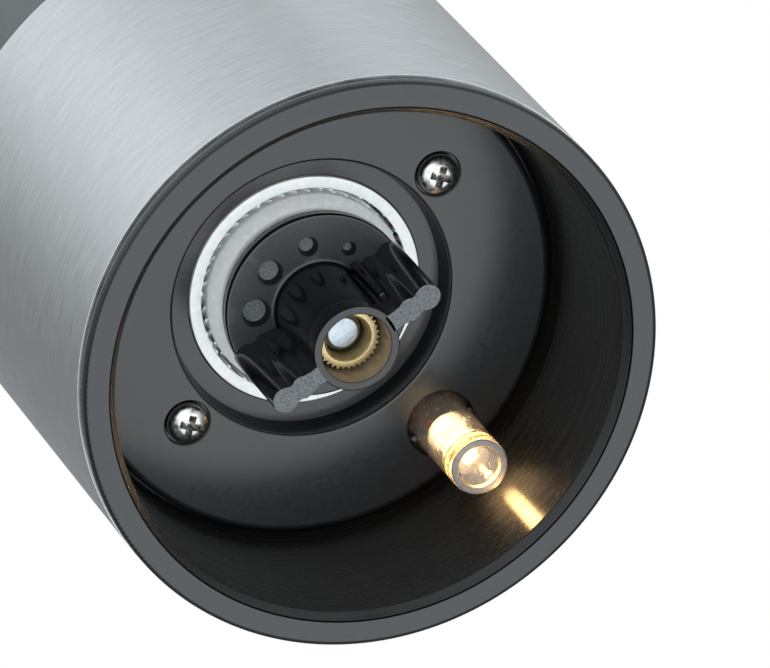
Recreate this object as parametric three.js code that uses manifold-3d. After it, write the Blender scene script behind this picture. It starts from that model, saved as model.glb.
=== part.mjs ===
// Electric pepper mill, 202 mm tall and 60 mm across, standing on its foot ring.
// Millimetres, +Z up, origin at the centre of the foot ring's rest face.
// The ceramic grinder sits in the foot; the spice chamber, the drive and the cells are above it.

import * as THREE from 'three';
import { mergeVertices } from 'three/addons/utils/BufferGeometryUtils.js';
import Module from 'manifold-3d';

const wasm = await Module();
wasm.setup();

// ---- Driving dimensions ------------------------------------------------------------------

const BODY_R = 30;             // outside of both steel sleeves
const SLEEVE_WALL = 0.8;
const TOTAL_H = 202;
const GAP = 0.3;               // clearance between separate pieces

const FOOT_H = 2.0;            // black rim that shows below the lower sleeve
const MOUTH_R = 27.4;          // inner edge of the flat foot face
const BELL_MOUTH_R = 27.0;     // inner wall of the grinder bell at its mouth
const BELL_TOP_R = 26.1;       // and where it meets the grinder plate

const PLATE_Z = 19.1;          // underside of the grinder plate
const PLATE_R = 25.4;
const PLATE_T = 2.0;
const RECESS_R = 14.8;         // edge of the funnel recess round the grinder
const STATOR_R = 12.2;
const STATOR_Z = 21.6;         // underside of the ceramic ring

const KNOB_DISC_R = 9.8;
const KNOB_DISC_Z = 17.2;      // underside of the adjuster's disc
const KNOB_DISC_T = 1.3;
const KNOB_Z = 5.1;            // lowest face of its hub and wings
const HUB_R = 4.5;
const HUB_BORE_R = 3.65;
const WING_ANGLES = [100, 280]; // degrees round +Z, counted from +Y
const GRIND_MARKS = [[132, 1.5], [171, 1.35], [212, 1.05], [251, 0.75]]; // angle and radius
const GRIND_MARK_ORBIT = 6.6;

const SCREW_RADIUS = 17.8;     // the two screws stand on the X axis
const SLOT_TURN = 59;          // how their cross slots came to rest
const LIGHT_Y = 20.7;          // the light cap stands on the Y axis
const LIGHT_R = 3.0;
const LIGHT_TIP_Z = 7.1;

const LOWER_SLEEVE_TOP = 49.6;
const CHAMBER_Z = 24.9;        // lowest face of the clear chamber
const CHAMBER_R = 29.4;        // where it shows between the sleeves
const CHAMBER_BORE_R = 26.6;
const NECK_Z = 88;             // the chamber's neck starts here
const NECK_R = 27.9;
const NECK_TOP = 97;

const LOCK_Z = 88.4;           // twist ring on the neck
const LOCK_H = 2.8;
const UPPER_Z = 91.6;          // lower edge of the upper sleeve and of the drive base
const UPPER_SLEEVE_TOP = 193;

const SHAFT_TIP_Z = 9.5;
const SHAFT_SQUARE_Z = 31.5;   // the square part starts above the rotor
const SHAFT_TOP = 102.6;         // inside the drive's socket
const SHAFT_R = 2.0;
const SHAFT_SQUARE = 4.2;

const GEARBOX_Z = 101.9;
const GEAR_Z = 105.2;          // lower face of every gear
const GEAR_T = 3.6;
const SUN_TEETH = 12;
const PLANET_TEETH = 15;
const RING_TEETH = 42;         // sun teeth plus twice the planet teeth
const GEAR_MODULE = 0.5;
const ADDENDUM = 0.45;         // tooth height above the pitch circle
const DEDENDUM = 0.62;         // and below it
const TOOTH_ROOT_SHARE = 0.62; // of the pitch, as are the tip's
const TOOTH_TIP_SHARE = 0.2;
const PLANET_ORBIT = GEAR_MODULE * (SUN_TEETH + PLANET_TEETH) / 2;

const MOTOR_Z = 112.6;
const MOTOR_R = 12.2;
const MOTOR_H = 32;

const CELL_R = 5.2;            // AAA cell
const CELL_H = 43.3;
const CELL_COUNT = 6;
const CELL_ORBIT = 20.4;
const CELL_Z = 122.6;
const CAGE_Z = 118;            // lower plate of the battery cage
const CAGE_PLATE_T = 2.2;
const CAGE_TOP = 170;

const CAP_Z = 186;             // lower end of the top cap's skirt
const BUTTON_R = 16;
const BUTTON_TOP = 201.4;
const BUTTON_TRAVEL = 1.8;

const FINE = 32;               // facets of the large rings
const MEDIUM = 20;
const SMALL = 12;

// ---- Finishes ----------------------------------------------------------------------------

const finish = (color, roughness, metalness = 0, extra = {}) =>
  new THREE.MeshStandardMaterial({ color, roughness, metalness, ...extra });

const clear = { transparent: true, opacity: 0.35 };
const steel = finish(0xc9c9cb, 0.35, 1);
const blackGloss = finish(0x141517, 0.2);
const blackPlastic = finish(0x1d1e20, 0.45);
const ceramic = finish(0xf1f1ee, 0.35);
const brass = finish(0xc8b482, 0.35, 1);
const nickel = finish(0xb9b9bb, 0.25, 1);
const acrylic = finish(0xc9ced2, 0.1, 0, clear);
const lightAcrylic = finish(0xe9dfc6, 0.2, 0, clear);
const warmLamp = finish(0xffd890, 0.3);
const acetal = finish(0xe6e2d6, 0.5);
const copper = finish(0xc98a5c, 0.35, 1);
const redWire = finish(0xa5241c, 0.5);
const boardGreen = finish(0x2c5a3c, 0.5);
const cellWrap = finish(0x4a4f57, 0.4);
const silicone = finish(0x2a2b2d, 0.7);

// ---- Shape helpers -----------------------------------------------------------------------

const radians = THREE.MathUtils.degToRad;
const v2 = (x, y) => new THREE.Vector2(x, y);

// The position at radius r and an angle counted from +Y round +Z.
const polar = (r, degrees) => [-r * Math.sin(radians(degrees)), r * Math.cos(radians(degrees))];

// Merges the vertices of a closed mesh and turns its faces outwards.
function closed(geometry) {
  const bare = geometry.index ? geometry.toNonIndexed() : geometry.clone();
  bare.deleteAttribute('normal');
  bare.deleteAttribute('uv');
  const merged = mergeVertices(bare, 1e-4);
  const kept = [];
  const at = merged.attributes.position;
  const [a, b, c] = [new THREE.Vector3(), new THREE.Vector3(), new THREE.Vector3()];
  let volume = 0;
  for (let i = 0; i < merged.index.count; i += 3) {
    const [p, q, r] = [0, 1, 2].map((k) => merged.index.getX(i + k));
    if (p === q || q === r || r === p) continue;
    kept.push(p, q, r);
    a.fromBufferAttribute(at, p);
    b.fromBufferAttribute(at, q);
    c.fromBufferAttribute(at, r);
    volume += a.dot(b.cross(c));
  }
  if (volume < 0) kept.reverse();
  merged.setIndex(kept);
  return merged;
}

function toManifold(geometry) {
  const solid = closed(geometry);
  return new wasm.Manifold(new wasm.Mesh({
    numProp: 3,
    vertProperties: new Float32Array(solid.attributes.position.array),
    triVerts: new Uint32Array(solid.index.array),
  }));
}

function fromManifold(manifold) {
  const mesh = manifold.getMesh();
  const geometry = new THREE.BufferGeometry();
  geometry.setAttribute('position', new THREE.BufferAttribute(mesh.vertProperties, 3));
  geometry.setIndex(new THREE.BufferAttribute(mesh.triVerts, 1));
  return geometry;
}

// Joins the solids in `parts` and takes away those in `holes`.
function carve(parts, holes = []) {
  let solid = toManifold(parts[0]);
  for (const part of parts.slice(1)) solid = solid.add(toManifold(part));
  for (const hole of holes) solid = solid.subtract(toManifold(hole));
  return fromManifold(solid);
}

// Revolves a profile of [radius, height] corners round Z. The outline closes on itself,
// or on the axis when its first and last corners lie there.
function turned(corners, segments = MEDIUM) {
  const onAxis = corners[0][0] === 0 && corners[corners.length - 1][0] === 0;
  const outline = onAxis ? corners : [...corners, corners[0]];
  const geometry = new THREE.LatheGeometry(outline.map(([r, z]) => v2(r, z)), segments);
  return closed(geometry.rotateX(Math.PI / 2));
}

const rod = (radius, z0, z1, segments = SMALL) =>
  turned([[0, z0], [radius, z0], [radius, z1], [0, z1]], segments);

const ring = (inner, outer, z0, z1, segments = MEDIUM) =>
  turned([[inner, z0], [outer, z0], [outer, z1], [inner, z1]], segments);

// Extrudes a shape from height z0 to z1.
function prism(shape, z0, z1, curveSegments = 12) {
  const options = { depth: z1 - z0, bevelEnabled: false, curveSegments };
  return closed(new THREE.ExtrudeGeometry(shape, options).translate(0, 0, z0));
}

function box(sx, sy, z0, z1, x = 0, y = 0) {
  return new THREE.BoxGeometry(sx, sy, z1 - z0).translate(x, y, (z0 + z1) / 2);
}

const moved = (geometry, x, y, z = 0) => geometry.clone().translate(x, y, z);
const spun = (geometry, degrees) => geometry.clone().rotateZ(radians(degrees));

// A quarter round of the profile between two corners, bulging away from `centre`.
function arc(centre, radius, from, to, steps = 3) {
  return Array.from({ length: steps + 1 }, (_, i) => {
    const t = radians(from + (to - from) * i / steps);
    return [centre[0] + radius * Math.cos(t), centre[1] + radius * Math.sin(t)];
  });
}

// An outline with straight-sided teeth, centred on a tooth at angle 0.
function toothed(teeth, rootR, tipR, rootShare, tipShare) {
  const shape = new THREE.Shape();
  const pitch = 2 * Math.PI / teeth;
  for (let i = 0; i < teeth; i++) {
    const corners = [[rootR, -rootShare], [tipR, -tipShare], [tipR, tipShare], [rootR, rootShare]];
    for (const [r, share] of corners) {
      const angle = pitch * (i + share / 2);
      const [x, y] = [r * Math.cos(angle), r * Math.sin(angle)];
      if (shape.curves.length === 0 && shape.currentPoint.lengthSq() === 0) shape.moveTo(x, y);
      else shape.lineTo(x, y);
    }
  }
  shape.closePath();
  return shape;
}

function withBore(shape, radius) {
  shape.holes.push(new THREE.Path().absarc(0, 0, radius, 0, 2 * Math.PI, true));
  return shape;
}

class Helix extends THREE.Curve {
  constructor(radius, z0, z1, turns) {
    super();
    Object.assign(this, { radius, z0, z1, turns });
  }

  getPoint(t, target = new THREE.Vector3()) {
    const angle = 2 * Math.PI * this.turns * t;
    const z = this.z0 + (this.z1 - this.z0) * t;
    return target.set(this.radius * Math.cos(angle), this.radius * Math.sin(angle), z);
  }
}

// A coil spring between heights z0 and z1, of round wire.
function coilSpring(radius, wireR, z0, z1, turns, stepsPerTurn = 8) {
  const wire = new THREE.Shape().absarc(0, 0, wireR, 0, 2 * Math.PI);
  const path = new Helix(radius, z0 + wireR * 1.2, z1 - wireR * 1.2, turns);
  const options = { steps: turns * stepsPerTurn, extrudePath: path, curveSegments: 2 };
  return closed(new THREE.ExtrudeGeometry(wire, { ...options, bevelEnabled: false }));
}

// ---- The assembly ------------------------------------------------------------------------

const mill = new THREE.Group();
mill.name = 'pepper_mill';

function add(name, geometry, material, x = 0, y = 0) {
  const mesh = new THREE.Mesh(geometry, material);
  mesh.name = name;
  mesh.position.set(x, y, 0);
  mill.add(mesh);
}

// ---- Foot: ring, bell, plate and screws --------------------------------------------------

function addFoot() {
  const skirtR = BODY_R - SLEEVE_WALL - GAP;
  const skirtInner = 28.5;
  add('foot_ring', turned([
    [MOUTH_R, 0], [BODY_R - 0.55, 0], [BODY_R - 0.18, 0.15], [BODY_R - 0.05, 0.5],
    [BODY_R - 0.05, FOOT_H], [skirtR, FOOT_H], [skirtR, 12],
    [skirtInner, 12], [skirtInner, 1.5], [MOUTH_R, 1.5],
  ], FINE), blackGloss);

  const bellOuter = skirtInner - GAP;
  const lipR = MOUTH_R - 0.2;
  const lipTop = 24.6;
  add('grinder_bell', turned([
    [BELL_MOUTH_R, 0.5], [lipR, 0.1], [lipR, 1.8], [bellOuter, 1.8], [bellOuter, lipTop],
    [PLATE_R - 0.6, lipTop], [PLATE_R - 0.6, PLATE_Z + PLATE_T + GAP],
    [BELL_TOP_R, PLATE_Z + PLATE_T + GAP],
  ], FINE), blackPlastic);

  const plateTop = PLATE_Z + PLATE_T;
  const collarTop = 27.6;
  const collarR = 15.1;
  const seatR = STATOR_R + GAP;
  const plate = turned([
    ...arc([RECESS_R + 0.4, PLATE_Z + 0.4], 0.4, 180, 270, 2),
    ...arc([PLATE_R - 0.6, PLATE_Z + 0.6], 0.6, 270, 360, 3),
    [PLATE_R, plateTop], [collarR, plateTop], [collarR, collarTop],
    [seatR, collarTop], [seatR, STATOR_Z + 0.15], [14.2, STATOR_Z + 0.85],
  ], FINE);
  const holes = [moved(rod(LIGHT_R + 0.4, PLATE_Z - 1, plateTop + 1), 0, LIGHT_Y)];
  for (const side of [-1, 1]) {
    holes.push(moved(rod(1.6, PLATE_Z - 1, plateTop + 1), side * SCREW_RADIUS, 0));
    holes.push(moved(rod(2.7, PLATE_Z - 1, PLATE_Z + 0.5), side * SCREW_RADIUS, 0));
  }
  add('grinder_plate', carve([plate], holes), blackPlastic);

  const headZ = PLATE_Z - 1.0;
  const headTop = PLATE_Z + 0.2;
  const head = turned([
    [0, headZ], [1.2, headZ + 0.05], [1.9, headZ + 0.4], [2.2, headZ + 0.95],
    [2.2, headTop], [1.25, headTop], [1.25, 31], [0, 31.6],
  ], SMALL);
  const slots = [box(2.5, 0.55, headZ - 1, headZ + 0.75), box(0.55, 2.5, headZ - 1, headZ + 0.75)];
  const screw = spun(carve([head], slots), SLOT_TURN);
  add('plate_screw_1', screw, nickel, -SCREW_RADIUS, 0);
  add('plate_screw_2', screw, nickel, SCREW_RADIUS, 0);

  add('lower_sleeve', ring(BODY_R - SLEEVE_WALL, BODY_R, FOOT_H + GAP, LOWER_SLEEVE_TOP, FINE), steel);
}

// ---- Grinder: ceramic pair, adjuster, spring and bridge ----------------------------------

function addStator() {
  const outside = turned([
    [11.1, STATOR_Z], [STATOR_R, STATOR_Z], [STATOR_R, 27.9], [14.4, 27.9],
    [14.4, 30], [12.6, 30],
  ], FINE);
  const notches = [];
  const notch = new THREE.CylinderGeometry(0.35, 0.35, 9, 4).rotateX(Math.PI / 2);
  for (let i = 0; i < 18; i++) notches.push(moved(spun(moved(notch, 11.2, 0), i * 20), 0, 0, 22));
  add('ceramic_stator', carve([outside], notches), ceramic);
}

function addRotor() {
  const cone = turned([
    [2.9, 19.7], [8.9, 19.7], ...arc([8.9, 21], 1.3, 285, 340, 2),
    [10.7, 21.6], [10.5, 23.5], [6.5, 30.8], [2.9, 30.8],
  ], FINE);
  const grooves = [];
  const groove = new THREE.BoxGeometry(1.4, 0.5, 12).rotateY(radians(-28));
  for (let i = 0; i < 16; i++) grooves.push(moved(spun(moved(groove, 9.2, 0), i * 22.5), 0, 0, 28));
  add('ceramic_rotor', carve([cone], grooves), ceramic);
  add('rotor_driver', ring(SHAFT_R + 0.25, 2.6, 19.7, 31.1, SMALL), blackPlastic);
  add('thrust_washer', ring(SHAFT_R + 0.25, 5.6, 18.8, 19.4, SMALL), nickel);
}

function wingShape() {
  const lobe = (x, r) => new THREE.Shape().absarc(x, 0, r, 0, 2 * Math.PI);
  return [
    prism(lobe(6.6, 1.05), KNOB_Z, KNOB_DISC_Z + 0.4, 8),
    prism(lobe(8.85, 1.15), KNOB_Z, KNOB_DISC_Z + 0.4, 8),
    box(5, 1.4, KNOB_Z, KNOB_DISC_Z + 0.4, 6.5, 0),
  ];
}

function addAdjuster() {
  const discTop = KNOB_DISC_Z + KNOB_DISC_T;
  const disc = turned([
    [0, KNOB_DISC_Z], [KNOB_DISC_R - 0.3, KNOB_DISC_Z], [KNOB_DISC_R, KNOB_DISC_Z + 0.3],
    [KNOB_DISC_R, discTop], [0, discTop],
  ], FINE);
  const hub = rod(HUB_R, KNOB_Z, discTop - 0.2, MEDIUM);
  const parts = [disc, hub];
  for (const angle of WING_ANGLES) parts.push(...wingShape().map((g) => spun(g, angle + 90)));
  const insertTop = 15.2;
  const holes = [
    rod(HUB_BORE_R, KNOB_Z - 1, insertTop + GAP, MEDIUM),
    rod(SHAFT_R + 0.3, KNOB_Z, discTop + 1),
  ];
  for (const [angle, r] of GRIND_MARKS) {
    const mark = rod(r, KNOB_DISC_Z - 1, KNOB_DISC_Z + 0.6, 14);
    holes.push(moved(mark, ...polar(GRIND_MARK_ORBIT, angle)));
  }
  add('adjuster_knob', carve(parts, holes), blackGloss);

  const knurl = withBore(toothed(20, 3.05, 3.35, 0.9, 0.3), SHAFT_R + 0.2);
  add('brass_insert', prism(knurl, 7.9, insertTop, 6), brass);
}

function addShaft() {
  const half = SHAFT_SQUARE / 2;
  const round = turned([
    [0, SHAFT_TIP_Z], [1.5, SHAFT_TIP_Z], [SHAFT_R, SHAFT_TIP_Z + 0.5],
    [SHAFT_R, SHAFT_SQUARE_Z + 1], [0, SHAFT_SQUARE_Z + 1],
  ], SMALL);
  const square = box(2 * half, 2 * half, SHAFT_SQUARE_Z, SHAFT_TOP);
  add('drive_shaft', carve([round, square]), steel);
  add('rotor_spring', coilSpring(4.3, 0.4, 31.6, 38.0, 3.5), steel);
  add('spring_collar', prism(withSquare(5.4), 38.3, 39.5), nickel);

  const arms = [ring(3.6, 6, 41, 46, SMALL)];
  for (let i = 0; i < 3; i++) {
    arms.push(spun(box(9.4, 2.2, 42, 46, 9.3, 0), 90 + 120 * i));
    arms.push(spun(box(1.6, 2.6, 30.4, 46, 13.4, 0), 90 + 120 * i));
  }
  arms.push(ring(12.6, 14.2, 30.3, 32, MEDIUM));
  add('shaft_bridge', carve(arms), blackPlastic);
}

// A round collar with the shaft's square hole through it.
function withSquare(radius) {
  const shape = new THREE.Shape().absarc(0, 0, radius, 0, 2 * Math.PI);
  const half = SHAFT_SQUARE / 2 + 0.15;
  const hole = new THREE.Path([v2(-half, -half), v2(-half, half), v2(half, half), v2(half, -half)]);
  hole.closePath();
  shape.holes.push(hole);
  return shape;
}

// ---- Lamp: clear cap, diode, wires and their duct ----------------------------------------

function addLamp() {
  const flangeTop = 24;
  const cap = turned([
    [0, LIGHT_TIP_Z], [2.2, LIGHT_TIP_Z], ...arc([LIGHT_R - 0.45, LIGHT_TIP_Z + 0.45], 0.45, 300, 360, 2),
    [LIGHT_R + 0.1, PLATE_Z + PLATE_T + GAP], [3.6, PLATE_Z + PLATE_T + GAP], [3.6, flangeTop],
    [2.2, flangeTop], [2.2, 10.4], [0, 9.4],
  ], SMALL);
  const lugs = [-1, 1].map((s) => box(0.9, 1.2, PLATE_Z - 0.9, PLATE_Z - 0.1, s * (LIGHT_R + 0.1), 0));
  add('light_cap', carve([cap, ...lugs.map((g) => spun(g, 20))]), lightAcrylic, 0, LIGHT_Y);
  add('led', turned([
    [0, 10.8], [0.9, 11.1], [1.5, 12.1], [1.5, 15.2], [1.9, 15.2], [1.9, 16.2], [0, 16.2],
  ], SMALL), warmLamp, 0, LIGHT_Y);

  add('wire_duct', ring(2.4, 3.3, 24.3, NECK_TOP - 0.8, SMALL), blackPlastic, 0, LIGHT_Y);
  const wireTop = NECK_TOP - 0.6;
  const lead = turned([
    [0, 16.5], [0.6, 16.5], [0.6, wireTop], [0.8, wireTop], [0.8, wireTop + 0.8],
    [0.45, wireTop + 1.2], [0, wireTop + 1.4],
  ], 10);
  add('led_lead_red', lead, redWire, -0.95, LIGHT_Y);
  add('led_lead_black', lead, silicone, 0.95, LIGHT_Y);
}

// ---- Spice chamber and its twist ring ----------------------------------------------------

function addChamber() {
  const inSleeveR = BODY_R - SLEEVE_WALL - 0.4;
  const floorInner = 17;
  const wall = turned([
    [floorInner, CHAMBER_Z], [inSleeveR, CHAMBER_Z], [inSleeveR, 50.6], [CHAMBER_R, 50.8],
    [CHAMBER_R, NECK_Z], [NECK_R, NECK_Z], [NECK_R, NECK_TOP], [CHAMBER_BORE_R, NECK_TOP],
    [CHAMBER_BORE_R, 35], [floorInner, 28],
  ], FINE);
  const parts = [wall];
  const holes = [moved(rod(3.7, CHAMBER_Z - 1, 36), 0, LIGHT_Y)];
  const bossZ = PLATE_Z + PLATE_T + GAP;
  for (const side of [-1, 1]) {
    parts.push(moved(rod(2.4, bossZ, 33.5), side * SCREW_RADIUS, 0));
    holes.push(moved(rod(1.55, bossZ - 1, 32), side * SCREW_RADIUS, 0));
  }
  add('spice_chamber', carve(parts, holes), acrylic);
  add('sleeve_seal', ring(inSleeveR + 0.15, BODY_R - 0.5, 49.8, 50.4, FINE), silicone);
  add('lock_ring', ring(NECK_R + GAP, BODY_R - 0.1, LOCK_Z, LOCK_Z + LOCK_H, FINE), blackPlastic);
}

// ---- Drive unit: base, planetary gearbox and motor ---------------------------------------

function addDriveBase() {
  const wallR = BODY_R - SLEEVE_WALL - GAP;
  const floorZ = 98.9;
  add('drive_base', turned([
    [NECK_R + GAP, UPPER_Z], [wallR, UPPER_Z], [wallR, 108], [27.4, 108], [27.4, 101.5],
    [8, 101.5], [8, floorZ], [NECK_R + GAP, floorZ],
  ], FINE), blackPlastic);
  const innerTrack = ring(LIGHT_Y - 1.6, LIGHT_Y - 0.3, 98.1, 98.6, MEDIUM);
  const outerTrack = ring(LIGHT_Y + 0.3, LIGHT_Y + 1.6, 98.1, 98.6, MEDIUM);
  add('contact_track_inner', innerTrack, copper);
  add('contact_track_outer', outerTrack, copper);
}

function gear(teeth, bore) {
  const pitchR = GEAR_MODULE * teeth / 2;
  const shape = toothed(teeth, pitchR - DEDENDUM, pitchR + ADDENDUM, TOOTH_ROOT_SHARE, TOOTH_TIP_SHARE);
  return prism(withBore(shape, bore), GEAR_Z, GEAR_Z + GEAR_T, 6);
}

function addGearbox() {
  const pitchR = GEAR_MODULE * RING_TEETH / 2;
  const [root, tip] = [pitchR + DEDENDUM, pitchR - ADDENDUM];
  const inside = toothed(RING_TEETH, root, tip, TOOTH_ROOT_SHARE, TOOTH_TIP_SHARE);
  const rim = new THREE.Shape().absarc(0, 0, 12.6, 0, 2 * Math.PI);
  rim.holes.push(new THREE.Path(inside.getPoints().reverse()));
  add('ring_gear', prism(rim, GEAR_Z - 0.2, GEAR_Z + GEAR_T + 0.2, 10), acetal);
  add('gearbox_housing', turned([
    [7.5, GEARBOX_Z], [14.2, GEARBOX_Z], [14.2, 109.2], [12.9, 109.2],
    [12.9, GEARBOX_Z + 1], [7.5, GEARBOX_Z + 1],
  ]), blackPlastic);
  add('gearbox_cover', ring(3.4, 14.2, 109.6, 112.2), blackPlastic);

  const carrierZ = 103.4;
  const hub = prism(withSquare(5), 95, carrierZ, 8);
  const plate = prism(withSquare(9.2), carrierZ - 0.2, GEAR_Z - 0.4, 10);
  const pin = rod(0.95, carrierZ, GEAR_Z + GEAR_T, 12);
  const pins = [0, 1, 2].map((i) => moved(pin, ...polar(PLANET_ORBIT, 120 * i)));
  add('output_carrier', carve([hub, plate, ...pins]), acetal);
}

function addPlanets() {
  // A quarter of a tooth pitch puts each planet in mesh with the sun and the ring.
  const planet = gear(PLANET_TEETH, 1.2);
  const phase = -90 / PLANET_TEETH;
  for (let i = 0; i < 3; i++) {
    const meshed = spun(planet, phase + 120 * i);
    add(`planet_gear_${i + 1}`, meshed, acetal, ...polar(PLANET_ORBIT, 120 * i));
  }
  add('sun_gear', gear(SUN_TEETH, 1.1), brass);
  add('motor_shaft', rod(0.9, GEAR_Z + 0.3, MOTOR_Z + MOTOR_H - 1.5, 12), steel);
}

function addMotor() {
  const top = MOTOR_Z + MOTOR_H;
  add('motor_can', turned([
    [1.4, MOTOR_Z], [MOTOR_R, MOTOR_Z], [MOTOR_R, top - 2], [MOTOR_R - 0.6, top - 2],
    [MOTOR_R - 0.6, MOTOR_Z + 0.6], [1.4, MOTOR_Z + 0.6],
  ]), nickel);
  const cap = turned([[0, top - 1.2], [11.2, top - 1.2], [11.2, top + 1.4], [0, top + 1.4]]);
  const tabs = [-1, 1].map((s) => box(0.8, 2.6, top + 1, top + 4.4, 0, s * 6));
  add('motor_end_cap', carve([cap, ...tabs]), blackPlastic);
}

// ---- Battery cage, cells and contacts ----------------------------------------------------

function addBatteries() {
  const cellTop = CELL_Z + CELL_H;
  const tube = ring(MOTOR_R + GAP, 13.6, CAGE_Z + 0.5, CAGE_TOP - 0.5);
  const lower = ring(MOTOR_R + GAP, 27.6, CAGE_Z, CAGE_Z + CAGE_PLATE_T, FINE);
  const upper = ring(MOTOR_R - 4, 27.6, CAGE_TOP - CAGE_PLATE_T, CAGE_TOP, FINE);
  const ribs = [];
  for (let i = 0; i < 3; i++) {
    ribs.push(spun(box(2.4, 3.2, CAGE_Z + 0.5, CAGE_TOP - 0.5, 25.9, 0), 60 + 120 * i));
  }
  add('battery_cage', carve([tube, lower, upper, ...ribs]), blackPlastic);

  // Three springy contacts below and three plain ones above put the cells in series.
  const stripZ = CAGE_Z + CAGE_PLATE_T + GAP;
  const upperZ = CAGE_TOP - CAGE_PLATE_T - GAP - 0.4;
  const coil = coilSpring(2.6, 0.35, stripZ + 0.2, CELL_Z - 0.1, 1.5);
  for (let i = 0; i < CELL_COUNT / 2; i++) {
    const coils = [0, 1].map((k) => moved(coil, ...polar(CELL_ORBIT, 120 * i + 60 * k)));
    const spring = carve([spun(contactStrip(stripZ), 120 * i), ...coils]);
    add(`spring_contact_${i + 1}`, spring, nickel);
    add(`plain_contact_${i + 1}`, spun(contactStrip(upperZ), 120 * i + 60), nickel);
  }

  const cell = turned([
    [0, CELL_Z], [CELL_R, CELL_Z], [CELL_R, cellTop - 1], [1.9, cellTop - 1],
    [1.9, cellTop], [0, cellTop],
  ], 14);
  for (let i = 0; i < CELL_COUNT; i++) {
    add(`battery_${i + 1}`, cell, cellWrap, ...polar(CELL_ORBIT, 60 * i));
  }
}

// A curved strip that reaches across two neighbouring cells, its first cell at +Y.
function contactStrip(z) {
  const half = radians(42);
  const middle = radians(90 + 30);
  const shape = new THREE.Shape();
  shape.absarc(0, 0, CELL_ORBIT + 3, middle - half, middle + half, false);
  shape.absarc(0, 0, CELL_ORBIT - 3, middle + half, middle - half, true);
  return prism(shape, z, z + 0.4, 8);
}

// ---- Switch, upper sleeve, cap and button ------------------------------------------------

function addTop() {
  add('switch_board', rod(18, 171.5, 173.1, MEDIUM), boardGreen);
  // The plunger slides in the switch's bore, deep enough for the button's whole travel.
  const plungerR = 1.7;
  const plungerZ = 176.6;
  const bore = rod(plungerR + GAP, plungerZ - BUTTON_TRAVEL - GAP, 179);
  add('micro_switch', carve([box(7, 7, 173.5, 178)], [bore]), blackPlastic);
  add('switch_plunger', rod(plungerR, plungerZ, 181.6), acetal);

  add('upper_sleeve', ring(BODY_R - SLEEVE_WALL, BODY_R, UPPER_Z, UPPER_SLEEVE_TOP, FINE), steel);
  const skirtR = BODY_R - SLEEVE_WALL - GAP;
  const shelf = 190.2;
  add('top_cap', turned([
    [skirtR - 1.6, CAP_Z], [skirtR, CAP_Z], [skirtR, UPPER_SLEEVE_TOP + GAP],
    [BODY_R, UPPER_SLEEVE_TOP + GAP], [BODY_R, TOTAL_H - 4], ...arc([BODY_R - 4, TOTAL_H - 4], 4, 15, 90, 4),
    [BUTTON_R + 0.7, TOTAL_H], [BUTTON_R + GAP, TOTAL_H - 0.4], [BUTTON_R + GAP, shelf],
    [11, shelf], [11, shelf - 1.8], [skirtR - 1.6, shelf - 1.8],
  ], FINE), blackGloss);

  const under = 194.6;
  add('push_button', turned([
    [0, 182], [2.4, 182], [2.4, under + 1], [8.5, under + 1], [8.5, 183.2], [10, 183.2],
    [10, under], [BUTTON_R, under], [BUTTON_R, BUTTON_TOP - 1.6], [0, BUTTON_TOP - 1.6],
  ], FINE), blackPlastic);
  add('button_face', turned([
    [0, BUTTON_TOP - 1.3], [BUTTON_R - 0.1, BUTTON_TOP - 1.3], [BUTTON_R - 0.1, BUTTON_TOP - 0.3],
    [BUTTON_R - 0.5, BUTTON_TOP], [0, BUTTON_TOP],
  ], FINE), steel);
  add('button_spring', coilSpring(12.6, 0.45, shelf + 0.3, under - 0.3, 2.5, 12), steel);
}

addFoot();
addStator();
addRotor();
addAdjuster();
addShaft();
addLamp();
addChamber();
addDriveBase();
addGearbox();
addPlanets();
addMotor();
addBatteries();
addTop();

export default mill;
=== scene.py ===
"""Looks of the electric pepper mill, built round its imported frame. Lengths in the code are millimetres."""

import math

import bmesh
import bpy
from mathutils import Matrix, Vector


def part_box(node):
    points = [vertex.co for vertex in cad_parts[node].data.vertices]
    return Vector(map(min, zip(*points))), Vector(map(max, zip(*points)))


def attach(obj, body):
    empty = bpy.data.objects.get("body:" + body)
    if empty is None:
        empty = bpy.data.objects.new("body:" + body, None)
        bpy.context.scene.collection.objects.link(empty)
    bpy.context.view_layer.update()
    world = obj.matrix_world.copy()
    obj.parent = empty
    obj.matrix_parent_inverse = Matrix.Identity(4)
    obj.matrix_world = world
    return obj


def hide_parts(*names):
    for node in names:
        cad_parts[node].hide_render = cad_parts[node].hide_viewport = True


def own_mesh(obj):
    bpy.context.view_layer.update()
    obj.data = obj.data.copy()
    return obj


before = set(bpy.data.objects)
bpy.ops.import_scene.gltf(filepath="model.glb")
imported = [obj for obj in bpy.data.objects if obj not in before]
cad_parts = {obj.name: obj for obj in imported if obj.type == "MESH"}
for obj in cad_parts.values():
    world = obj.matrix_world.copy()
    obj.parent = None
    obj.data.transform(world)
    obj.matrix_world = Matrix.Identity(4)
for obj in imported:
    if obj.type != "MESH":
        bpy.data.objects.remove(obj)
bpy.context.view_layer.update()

MM = 0.001

# ---- Driving sizes, in millimetres ---------------------------------------------------------

FINE = 192          # facets of the large turned pieces
MEDIUM = 96
SMALL = 48
SLEEVE_WALL = 0.8
LAMP_Y = 20.7       # the foot lamp's axis crosses +Y here
SCREW_X = 17.8
WING_ANGLES = (100, 280)                              # degrees round +Z, counted from +Y
GRIND_MARKS = ((132, 1.5), (171, 1.35), (212, 1.05), (251, 0.75))  # angle and radius
SLOT_TURN = 59      # how the screws' cross slots came to rest
GEAR_MODULE = 0.5
SUN_TEETH = 12
PLANET_TEETH = 15
RING_TEETH = 42
TOOTH_RISE = 0.45   # of a gear tooth's tip over the pitch circle
TOOTH_DEPTH = 0.62  # and of its root below it


def span(node):
    """Outer radius round the node's own middle, lowest and highest z of a CAD node, in mm."""
    low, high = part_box(node)
    return (high.x - low.x) / 2 / MM, low.z / MM, high.z / MM


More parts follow.
